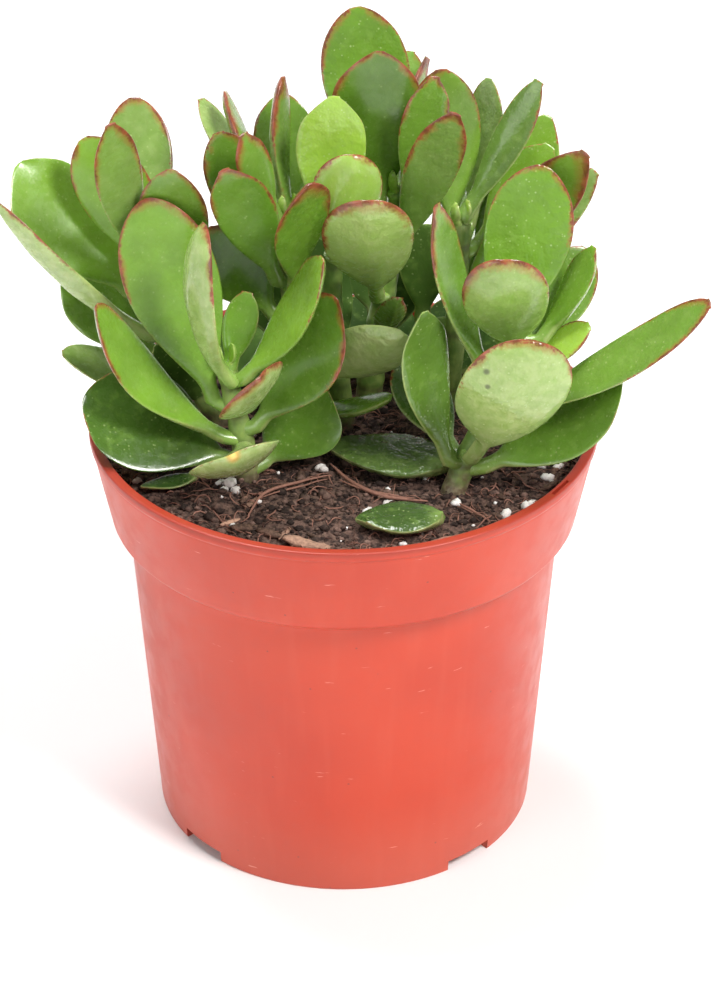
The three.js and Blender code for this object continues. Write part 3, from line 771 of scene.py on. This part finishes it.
def grow_shoot(skin, key, number):
    """The stem itself, which swells a little at its leaf nodes, under a scar line."""
    path, (foot_r, tip_r) = STEMS[key]
    line = stem_line(path)
    top, bottom = path[-1][2], SOIL_Z - STEM_BURIED
    scars = [s["base"][2] - 1.0 for n, s in shapes.items() if n.startswith(f"leaf_{key}_")]
    scars += [row[0] for row in JOINED[key]]
    cos, sin = around(STEM_COLS)
    rings, scar_values, foot_values = [], [], []
    for z in np.arange(bottom, top, STEM_STEP):
        radius = foot_r + (tip_r - foot_r) * (z - bottom) / (top - bottom)
        swell = max([math.exp(-(((z - s) / 1.5) ** 2)) for s in scars])
        scar = max([math.exp(-(((z - s + 1.9) / 0.45) ** 2)) for s in scars])
        rough = [noise.noise(Vector((c * 1.3, s * 1.3, z / 4 + number))) for c, s in zip(cos, sin)]
        r = radius + 0.32 * swell - 0.16 * scar + 0.14 * np.array(rough)
        rings.append(line(z) + np.stack([cos * r, sin * r, 0 * r], 1))
        scar_values.append(np.full(STEM_COLS, scar))
        foot_values.append(np.full(STEM_COLS, float(smooth((SOIL_Z + 12 - z) / 14))))
    skin.loft(
        line(bottom) - [0, 0, 1.5],
        np.array(rings),
        line(top) + [0, 0, 0.9],
        ring=np.concatenate([[0], np.ravel(scar_values), [0]]),
        foot=np.concatenate([[1], np.ravel(foot_values), [0]]),
    )


def grow_stem(key, number):
    """A shoot with its joined leaves and the small pair of buds that ends it."""
    path = STEMS[key][0]
    line = stem_line(path)
    skin = Skin()
    grow_shoot(skin, key, number)
    for order, (at, tip, width, look, curl, tone) in enumerate(JOINED[key]):
        shape = {"base": line(at), "tip": tip, "look": look, "width": width, "thick": JOINED_THICK}
        shape.update(curl=math.radians(curl), petiole=JOINED_PETIOLE)
        kind = 2 if tone[0] < SHADED_TINT else 1
        grow_leaf(skin, shape, tone, JOINED_SEED + number * 9 + order, kind=kind)
    end = line(path[-1][2])
    for turn in BUD_TURNS:
        out = np.array([math.cos(turn), math.sin(turn), 0])
        bud = {"base": end - [0, 0, 0.4] + out * 0.5, "tip": end + [0, 0, 5.6] + out * 1.5}
        bud.update(look=-out, width=3.4, thick=2.0, curl=0.5, petiole=0.9)
        grow_leaf(skin, bud, BUD_LOOK, BUD_SEED + number, kind=1)
    skin.piece(f"stem_{key}_shoot", [STEM_SKIN, LEAF_SKIN, SHADED_SKIN], [f"stem_{key}"], "stem")


grow_leaves()
for number, key in enumerate(STEMS):
    grow_stem(key, number)

# ---------------- pot

RIM_R = 60
LIP_WIDTH = 2.4
BAND_LOW_R = 55.5
BAND_LOW_Z = 81.8
BODY_TOP_R = 51.6
BASE_R = 46
WALL = 1.3
FLOOR_Z = 3
FLOOR_THICK = 1.4
FOOT_WIDTH = 2.2
NOTCH_ANGLES = (41, 131, 221, 311)
NOTCH_WIDTH = 13
NOTCH_DEEP = 14
DRAIN_R = 4
DRAIN_RING_R = 31
DRAIN_COUNT = 6
DRAIN_COLS = 28
LABEL_ANGLE = -33
LABEL_SIZE = (0.8, 7, 5)
CREASE_ANGLE = 38
POT_COLS = 256
# Where the wall's inside turns: over the body, at the collar's foot and under the lip.
BODY_IN_Z = BAND_LOW_Z - 1.6
BAND_IN_Z = BAND_LOW_Z + 1.2
LIP_IN_Z = POT_HEIGHT - 1
BAND_IN_R = BAND_LOW_R - WALL
LIP_IN_R = RIM_R - LIP_WIDTH - 0.2


def rounded(profile, radius=0.45, steps=4):
    """A profile of (radius, height) pairs, from axis to axis, with its corners rounded."""
    points = [np.array(p, float) for p in profile]
    out = [points[0]]
    for before, corner, after in zip(points, points[1:], points[2:]):
        a, b = before - corner, after - corner
        cut = min(radius, norm(a) * 0.45, norm(b) * 0.45)
        p, q = corner + unit(a) * cut, corner + unit(b) * cut
        for s in np.linspace(0, 1, steps + 1):
            out.append((1 - s) ** 2 * p + 2 * s * (1 - s) * corner + s**2 * q)
    out.append(points[-1])
    return np.array(out)


def lathe(profile, cols):
    """Points and faces of a turned body whose profile starts and ends on the axis."""
    cos, sin = around(cols)
    rings = np.array([np.stack([r * cos, r * sin, np.full(cols, z)], 1) for r, z in profile[1:-1]])
    start, end = [0, 0, profile[0][1]], [0, 0, profile[-1][1]]
    return np.vstack([start, rings.reshape(-1, 3), end]), loft_faces(len(rings), cols)


def cutter(points, faces):
    """A body that is taken out of the pot and then removed."""
    mesh = bpy.data.meshes.new("cutter")
    mesh.from_pydata((np.asarray(points) * MM).tolist(), [], faces)
    return link("cutter", mesh)


def box_points(size, centre, degrees):
    """Points and faces of a box that is turned about the pot's axis."""
    corners = [(x, y, z) for x in (-0.5, 0.5) for y in (-0.5, 0.5) for z in (-0.5, 0.5)]
    faces = [(0, 1, 3, 2), (4, 6, 7, 5), (0, 4, 5, 1), (2, 3, 7, 6), (0, 2, 6, 4), (1, 5, 7, 3)]
    return turned(np.array(corners) * size + centre, math.radians(degrees)), faces


def body_in_r(z):
    """The body's inner radius at a height."""
    return BASE_R - WALL + (BODY_TOP_R - BASE_R) * (z / BAND_LOW_Z)


def pot_profile():
    """The pot's wall as a profile, from the axis under the floor round to the axis above it."""
    slope = (RIM_R - 0.35 - BAND_LOW_R) / (POT_HEIGHT - 2 - BAND_LOW_Z - 0.5)
    under_lip = POT_HEIGHT - 3.1
    return [
        (0, FLOOR_Z),
        (BASE_R - FOOT_WIDTH, FLOOR_Z),
        (BASE_R - FOOT_WIDTH, 0),
        (BASE_R - 0.1, 0),
        (BASE_R + 0.1, 3.0),
        (BODY_TOP_R - 0.35, BAND_LOW_Z - 5.0),
        (BODY_TOP_R, BAND_LOW_Z - 1.0),
        (BAND_LOW_R - 1.0, BAND_LOW_Z - 0.7),
        (BAND_LOW_R, BAND_LOW_Z + 0.5),
        (BAND_LOW_R + slope * (under_lip - BAND_LOW_Z - 0.5), under_lip),
        (RIM_R - 0.55, POT_HEIGHT - 2.6),
        (RIM_R, POT_HEIGHT - 1.9),
        (RIM_R, POT_HEIGHT),
        (RIM_R - LIP_WIDTH, POT_HEIGHT),
        (LIP_IN_R, LIP_IN_Z),
        (BAND_IN_R, BAND_IN_Z),
        (body_in_r(BAND_LOW_Z), BODY_IN_Z),
        (body_in_r(FLOOR_Z + FLOOR_THICK), FLOOR_Z + FLOOR_THICK),
        (0, FLOOR_Z + FLOOR_THICK),
    ]


def pot_cutters():
    """The foot notches, the drain holes and the label slot."""
    cutters = []
    for angle in NOTCH_ANGLES:
        size = (NOTCH_DEEP, NOTCH_WIDTH, FLOOR_Z * 2 - 0.1)
        cutters.append(cutter(*box_points(size, (BASE_R, 0, 0), angle)))
    points, faces = lathe([(0, -6), (DRAIN_R, -6), (DRAIN_R, 6), (0, 6)], DRAIN_COLS)
    for cos, sin in zip(*around(DRAIN_COUNT)):
        cutters.append(cutter(points + [DRAIN_RING_R * cos, DRAIN_RING_R * sin, FLOOR_Z], faces))
    middle = (RIM_R - LIP_WIDTH / 2, 0, POT_HEIGHT)
    cutters.append(cutter(*box_points(LABEL_SIZE, middle, LABEL_ANGLE)))
    return cutters


def make_pot():
    """The nursery pot, cut by its foot notches, drain holes and label slot."""
    skin = Skin()
    skin.add(*lathe(rounded(pot_profile()), POT_COLS))
    pot = skin.piece("nursery_pot_shell", [POT_SKIN], ["nursery_pot"], "pot")
    cutters = pot_cutters()
    for body in cutters:
        cut = pot.modifiers.new("cut", "BOOLEAN")
        cut.operation = "DIFFERENCE"
        cut.solver = "EXACT"
        cut.object = body
    bpy.context.view_layer.update()
    graph = bpy.context.evaluated_depsgraph_get()
    mesh = bpy.data.meshes.new_from_object(pot.evaluated_get(graph))
    pot.modifiers.clear()
    pot.data = mesh
    for body in cutters:
        bpy.data.objects.remove(body)
    mesh.materials.clear()
    mesh.materials.append(POT_SKIN)
    mesh.polygons.foreach_set("use_smooth", [True] * len(mesh.polygons))
    mesh.set_sharp_from_angle(angle=math.radians(CREASE_ANGLE))


make_pot()

# ---------------- soil

SOIL_PROFILE = ((0, 98.5), (22, 98.1), (38, 97.7), (48, 97.1), (57.2, 96.5))
SOIL_RINGS = 84
SOIL_COLS = 260
SOIL_CLEAR = 0.3  # from the soil to the pot's wall
SOIL_LOW = FLOOR_Z + FLOOR_THICK + SOIL_CLEAR
SOIL_LUMPS = ((1.0, 8, 0.3), (0.55, 3, 4.1), (0.45, 1.3, 9.7))  # height, size and slice of the noise
STREW_R = 56  # radius that loose stuff is spread over
CRUMB_COUNT = 3600
GRAIN_COUNT = 85
HAIR_COUNT = 1100
TUBE_SIDES = 6
CHIP_COUNT = 46
CHIP_SIDES = 10
CHIP_RINGS = 7
CALM_R = 58.5  # the lumps are lower towards this radius


def soil_height(x, y):
    """Height of the soil's top at a place."""
    r = math.hypot(x, y)
    flat = np.interp(r, [p[0] for p in SOIL_PROFILE], [p[1] for p in SOIL_PROFILE])
    lumps = sum(h * noise.noise(Vector((x / size, y / size, cut))) for h, size, cut in SOIL_LUMPS)
    return flat + lumps * float(smooth((CALM_R - r) / 5) * 0.6 + 0.4)


def wall_at(z):
    """The pot's inner radius at a height, less the clearance."""
    if z < BODY_IN_Z:
        return body_in_r(z) - SOIL_CLEAR
    t = (z - BAND_IN_Z) / (LIP_IN_Z - BAND_IN_Z)
    return BAND_IN_R + t * (LIP_IN_R - BAND_IN_R) - SOIL_CLEAR


def make_soil():
    """The peat: a lumpy top, and sides that follow the pot's wall."""
    edge = SOIL_PROFILE[-1][1]
    cos, sin = around(SOIL_COLS)

    def ring(r, z):
        return np.stack([r * cos, r * sin, np.full(SOIL_COLS, z)], 1)

    rings = [
        ring(wall_at(SOIL_LOW) * 0.5, SOIL_LOW),
        ring(wall_at(SOIL_LOW), SOIL_LOW),
        ring(wall_at(40), 40),
        ring(wall_at(BODY_IN_Z - 0.1), BODY_IN_Z + 0.2),
        ring(BAND_IN_R - SOIL_CLEAR, BAND_IN_Z + 0.6),
        ring(wall_at(edge - 3), edge - 3),
    ]
    for s in np.linspace(1, 0, SOIL_RINGS, endpoint=False):
        top = ring(wall_at(edge) * s, 0)
        top[:, 2] = [soil_height(x, y) for x, y in top[:, :2]]
        rings.append(top)
    skin = Skin()
    skin.loft([0, 0, SOIL_LOW], np.array(rings), [0, 0, soil_height(0, 0)])
    skin.piece("soil_peat", [soil_material()], ["soil"], "soil")


def nugget(size, flat=0.7, jag=0.28):
    """A small closed lump: a rough icosahedron, as points round the origin."""
    g = (1 + 5**0.5) / 2
    corners = [(-1, g, 0), (1, g, 0), (-1, -g, 0), (1, -g, 0), (0, -1, g), (0, 1, g)]
    corners += [(0, -1, -g), (0, 1, -g), (g, 0, -1), (g, 0, 1), (-g, 0, -1), (-g, 0, 1)]
    points = np.array(corners) / math.hypot(1, g)
    points = points * (1 + RNG.uniform(-jag, jag, (12, 1)))
    turn = RNG.normal(size=(3, 3))
    turn = np.linalg.qr(turn)[0]
    points = points @ (turn * np.sign(np.linalg.det(turn)))
    return points * np.array([1, RNG.uniform(0.6, 1), flat]) * size


NUGGET_FACES = [
    (0, 11, 5), (0, 5, 1), (0, 1, 7), (0, 7, 10), (0, 10, 11), (1, 5, 9), (5, 11, 4), (11, 10, 2),
    (10, 7, 6), (7, 1, 8), (3, 9, 4), (3, 4, 2), (3, 2, 6), (3, 6, 8), (3, 8, 9), (4, 9, 5),
    (2, 4, 11), (6, 2, 10), (8, 6, 7), (9, 8, 1),
]


def strew(radius):
    """A random place on the soil, evenly spread over its disc."""
    r = radius * math.sqrt(RNG.uniform())
    a = RNG.uniform(0, 2 * math.pi)
    return r * math.cos(a), r * math.sin(a)


def random_size(share, small, large):
    """A size from the small range for a share of the calls, or else from the large one."""
    return RNG.uniform(*(small if RNG.uniform() < share else large))


def make_crumbs():
    """Loose peat crumbs over the whole top."""
    skin = Skin()
    for _ in range(CRUMB_COUNT):
        x, y = strew(57.0)
        size = random_size(0.8, (0.28, 0.7), (0.7, 1.35))
        z = soil_height(x, y) + size * 0.25
        shade = RNG.uniform(0, 0.75) ** 1.3
        skin.add(nugget(size) + [x, y, z], NUGGET_FACES, shade=shade)
    material = crumb_material("peat_crumb", (0.026, 0.016, 0.013), (0.27, 0.165, 0.13))
    skin.piece("soil_crumbs", [material], (), "soil")


# White grains that stand out: place and size.
GRAINS = [
    (-26.8, -20.4, 1.9), (-28.4, -19.3, 1.4), (-25, -22.4, 1.5), (-27.4, -22.2, 1.1), (-5.3, -14.7, 1.6),
    (-19.7, -27, 0.9), (5.5, -30.8, 1.35), (18.8, -17.8, 1), (10, -22.6, 0.9), (36.9, -31.3, 1.6),
    (42.3, -28.2, 1.5), (43.4, -26.9, 1.1), (47.5, -15.5, 1.5), (53.1, -5.7, 1.3), (46.3, -10.2, 1.1),
    (50.3, -9.7, 1.3), (-0.9, -6.6, 0.8), (-15.6, -14.2, 0.7), (-48, -16.9, 1.2), (-51.5, -21, 1.3),
]


def make_grains():
    """Perlite: crumbly white grains, the named ones and a scatter."""
    skin = Skin()
    grains = list(GRAINS)
    for _ in range(GRAIN_COUNT):
        x, y = strew(STREW_R)
        grains.append((x, y, random_size(0.75, (0.3, 0.75), (0.8, 1.5))))
    for x, y, size in grains:
        z = soil_height(x, y) + size * 0.45
        for _ in range(3 if size > 0.9 else 1):
            off = RNG.uniform(-0.45, 0.45, 3) * size * [1, 1, 0.3]
            lump = nugget(size * 0.8, 0.8, 0.2) + [x, y, z] + off
            skin.add(lump, NUGGET_FACES, shade=RNG.uniform(0.4, 1))
    material = crumb_material("perlite", (0.55, 0.5, 0.46), (0.9, 0.87, 0.84), 0.7, 0.18)
    skin.piece("soil_perlite", [material], (), "soil")


def tube(skin, points, radius, shade):
    """A thin rootlet through points, thinner towards its ends."""
    points = np.asarray(points, float)
    cos, sin = around(TUBE_SIDES)
    rings = []
    for i, p in enumerate(points):
        ahead = unit(points[min(i + 1, len(points) - 1)] - points[max(i - 1, 0)])
        side = unit(np.cross(ahead, [0.13, 0.27, 1]))
        up = np.cross(side, ahead)
        r = radius * (0.35 + 0.65 * math.sin(math.pi * (i + 0.7) / (len(points) + 0.4)))
        rings.append(p + r * (cos[:, None] * side - sin[:, None] * up))
    first, last = unit(points[1] - points[0]), unit(points[-1] - points[-2])
    skin.loft(points[0] - first * radius, np.array(rings), points[-1] + last * radius, shade=shade)


# Long rootlets that lie on the soil: places and radius.
ROOTLETS = [
    (
        [(-21.9, -33), (-20.6, -29.2), (-19.1, -24.8), (-15.9, -22.6), (-12, -20.4), (-7.9, -18.6),
         (-3, -17.6)],
        0.42,
    ),
    ([(-19, -26), (-14, -22.6), (-9, -20.6), (-3.7, -19)], 0.26),
    (
        [(-3, -13), (-1.4, -15.5), (1.9, -20.8), (5.1, -24.3), (9.2, -26.5), (14.5, -28), (19, -28)],
        0.5,
    ),
    ([(-1, -19.5), (4, -23.5), (10, -25.6), (16, -26.4)], 0.3),
    ([(17.5, -45.4), (21, -43.6), (24.6, -41.9), (28.5, -40)], 0.42),
    ([(26, -28), (30, -31.5), (33, -35.5)], 0.34),
    ([(-30, -31), (-27, -36), (-22.5, -40)], 0.24),
    ([(-36, 28), (-28, 33), (-19, 36), (-11, 35)], 0.34),
    ([(12, 40), (20, 37), (29, 39)], 0.3),
]


def long_rootlet(skin, places, radius):
    """A rootlet that follows the soil through its places, with its corners eased."""
    places = np.array(places)
    t = np.linspace(0, 1, 22)
    s = np.linspace(0, 1, len(places))
    x, y = np.interp(t, s, places[:, 0]), np.interp(t, s, places[:, 1])
    for _ in range(3):
        x[1:-1] = (x[:-2] + x[1:-1] + x[2:]) / 3
        y[1:-1] = (y[:-2] + y[1:-1] + y[2:]) / 3
    z = np.array([soil_height(a, b) for a, b in zip(x, y)])
    z = np.convolve(np.pad(z, 2, "edge"), np.ones(5) / 5, "valid") + radius + 0.55
    tube(skin, np.stack([x, y, z], 1), radius, 0.75)


def short_hair(skin):
    """A hair that curls over the soil, unless it would reach the pot."""
    x, y = strew(STREW_R)
    heading = RNG.uniform(0, 2 * math.pi)
    bend = RNG.uniform(-0.5, 0.5)
    count = int(RNG.integers(5, 10))
    step = RNG.uniform(0.45, 1.0)
    radius = RNG.uniform(0.07, 0.2)
    arch = RNG.uniform(0.0, 1.1)
    points = []
    for i in range(count):
        z = soil_height(x, y) + 0.35 + arch * math.sin(math.pi * i / (count - 1))
        points.append((x, y, z))
        heading += bend
        x, y = x + step * math.cos(heading), y + step * math.sin(heading)
    if max(math.hypot(p[0], p[1]) for p in points) < STREW_R + 0.8:
        tube(skin, points, radius, RNG.uniform(0.05, 1.0))


def make_fibres():
    """Reddish rootlets: the long ones and many short hairs."""
    skin = Skin()
    for places, radius in ROOTLETS:
        long_rootlet(skin, places, radius)
    for _ in range(HAIR_COUNT):
        short_hair(skin)
    material = crumb_material("rootlet", (0.06, 0.028, 0.02), (0.33, 0.16, 0.115), 0.7, 0.08)
    skin.piece("soil_fibres", [material], (), "soil")


# Bark and wood chips: place, half sizes, turn about +Z and shade.
CHIPS = [
    (-9.4, -44.4, (4.6, 2, 1), -0.35, 0.55),
    (-6.2, -45.8, (3.4, 1.6, 0.9), -0.3, 0.5),
    (-26, -34.3, (2.6, 0.75, 0.45), 0.62, 1),
    (-22.6, -36.8, (3.2, 1.4, 0.8), 0.2, 0.18),
    (-17, -40.2, (3, 1.3, 0.8), -0.5, 0.22),
    (17, -35.6, (2.4, 1, 0.7), -0.6, 0.3),
]


def splinter(skin, x, y, size, turn, shade):
    """A flat chip with a ragged outline, tilted a little on the soil."""
    a, b, c = size
    tilt = RNG.uniform(-0.18, 0.18)
    cos, sin = around(CHIP_SIDES)
    rings = []
    for s in np.linspace(-1, 1, CHIP_RINGS):
        narrow = (1 - abs(s) ** 3 * 0.55) * RNG.uniform(0.82, 1.0)
        across = cos * b * narrow * RNG.uniform(0.85, 1.1, CHIP_SIDES)
        up = sin * c * narrow + s * a * tilt
        rings.append(np.stack([s * a + RNG.uniform(-0.12, 0.12, CHIP_SIDES) * a, across, up], 1))
    rings = turned(np.array(rings), turn)
    centre = np.array([x, y, soil_height(x, y) + c * 0.7])
    end = np.array([math.cos(turn), math.sin(turn), tilt]) * a * 1.02
    skin.loft(centre - end, rings + centre, centre + end, shade=shade)


def make_chips():
    """Splinters of bark and wood: the named ones and a scatter."""
    skin = Skin()
    chips = list(CHIPS)
    for _ in range(CHIP_COUNT):
        x, y = strew(54)
        size = (RNG.uniform(1.1, 2.8), RNG.uniform(0.5, 1.1), RNG.uniform(0.3, 0.6))
        chips.append((x, y, size, RNG.uniform(0, math.pi), RNG.uniform(0.05, 0.6)))
    for chip in chips:
        splinter(skin, *chip)
    material = crumb_material("bark_chip", (0.06, 0.034, 0.024), (0.56, 0.33, 0.23), 0.8, 0.25)
    skin.piece("soil_chips", [material], (), "soil")


make_soil()
make_crumbs()
make_grains()
make_fibres()
make_chips()

# ---------------- floor and light

FLOOR_RADIUS = 1.1
FLOOR_SIDES = 96


def make_stage():
    """A plain pale round floor."""
    mesh = bpy.data.meshes.new("floor")
    edge = [(FLOOR_RADIUS * c, FLOOR_RADIUS * s, 0) for c, s in zip(*around(FLOOR_SIDES))]
    mesh.from_pydata(edge, [], [tuple(range(FLOOR_SIDES))])
    floor = link("floor", mesh)
    s = Shader("floor_paper")
    tone = s.mix(s.noise(400.0, 1.0), (0.94, 0.94, 0.94), (0.96, 0.96, 0.96))
    s.set(Base_Color=tone, Roughness=0.9, Specular_IOR_Level=0.1)
    mesh.materials.append(s.material)


# Soft boxes: name, place in metres, size in metres, power in watts, warmth.
SOFT_BOXES = [
    ("key", (0.75, -0.65, 1.25), 0.5, 22.0, (1.0, 0.985, 0.965)),
    ("fill", (-1.00, -0.9, 0.7), 0.8, 4.0, (1.0, 1.0, 1.0)),
    ("top", (-0.25, 0.35, 1.4), 0.6, 15.5, (1.0, 1.0, 1.0)),
]
LIGHT_AIM = Vector((0, 0, 0.11))
HORIZON_STRENGTH = 1.0
OVERHEAD_STRENGTH = 0.3
OVERHEAD_FROM = 0.3  # height on a sky of radius 1


def make_lights():
    """Large soft boxes in a white room."""
    for name, place, size, power, colour in SOFT_BOXES:
        data = bpy.data.lights.new(name, "AREA")
        data.shape = "DISK"
        data.size = size
        data.energy = power
        data.color = colour
        light = link(name, data)
        light.location = place
        light.rotation_mode = "QUATERNION"
        light.rotation_quaternion = (LIGHT_AIM - light.location).to_track_quat("-Z", "Y")
    world = bpy.data.worlds.new("studio")
    world.use_nodes = True
    nodes, links = world.node_tree.nodes, world.node_tree.links
    sky = nodes["Background"]
    sky.inputs["Color"].default_value = (1, 1, 1, 1)
    height = nodes.new("ShaderNodeSeparateXYZ")
    links.new(nodes.new("ShaderNodeTexCoord").outputs["Generated"], height.inputs[0])
    fade = nodes.new("ShaderNodeMapRange")
    links.new(height.outputs[2], fade.inputs["Value"])
    for socket, value in zip(fade.inputs[1:], (0, OVERHEAD_FROM, HORIZON_STRENGTH, OVERHEAD_STRENGTH)):
        socket.default_value = value
    links.new(fade.outputs[0], sky.inputs["Strength"])
    SCENE.world = world
    SCENE.view_settings.view_transform = "Standard"


make_stage()
make_lights()
